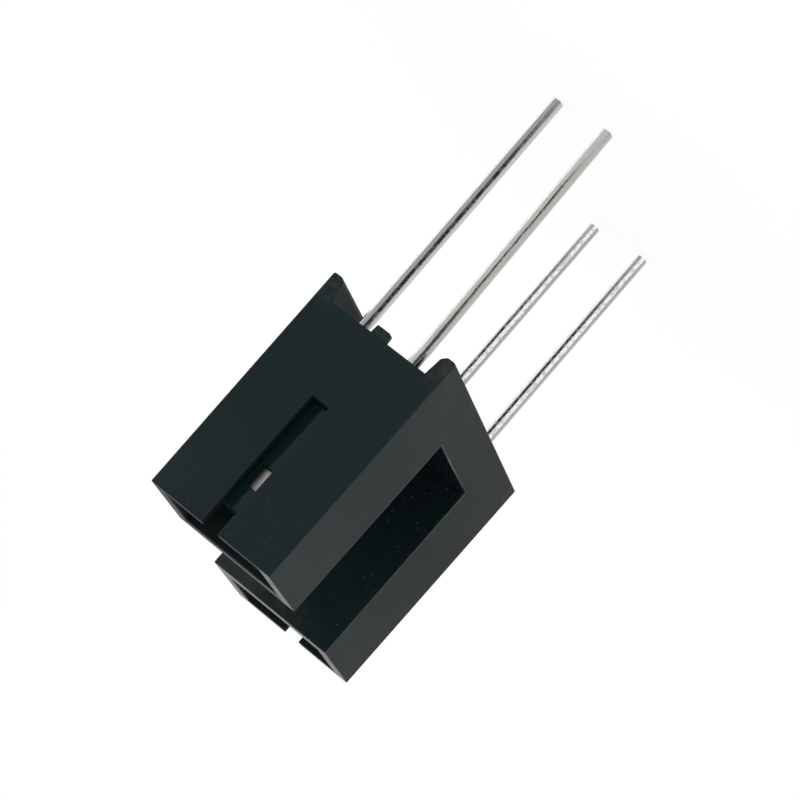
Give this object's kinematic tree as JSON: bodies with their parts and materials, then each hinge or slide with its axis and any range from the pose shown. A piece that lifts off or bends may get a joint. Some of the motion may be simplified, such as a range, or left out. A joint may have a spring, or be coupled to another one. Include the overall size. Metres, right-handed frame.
{
  "type": "slotted optical switch",
  "caption": "Black U-shaped optical switch for a circuit board: hollow slitted arms hold an emitter and a detector facing across an open slot, on straight solder leads.",
  "frame": {"origin": "middle of the seating plane, where the housing's skirts meet the board", "axes": "+Z to the arm tips, where the slot opens; X from arm to arm with the emitter at +X; the leads point along -Z"},
  "size_m": [0.014, 0.006, 0.021],
  "materials": {
    "housing": "black moulded plastic, fine satin texture",
    "emitter_resin": "smoky resin, satin gloss",
    "detector_resin": "dark infrared-pass resin, glossy",
    "lead": "tin plated, bright with faint drawing lines",
    "chip": "polished semiconductor",
    "wire": "gold bond wire"
  },
  "bodies": {
    "root": {"housing": "housing", "emitter_package": "emitter_resin", "detector_package": "detector_resin", "emitter_cathode_lead": "lead", "emitter_anode_lead": "lead", "detector_collector_lead": "lead", "detector_emitter_lead": "lead", "emitter_die": "chip", "detector_die": "chip", "emitter_bond_wire": "wire", "detector_bond_wire": "wire"}
  },
  "joints": []
}
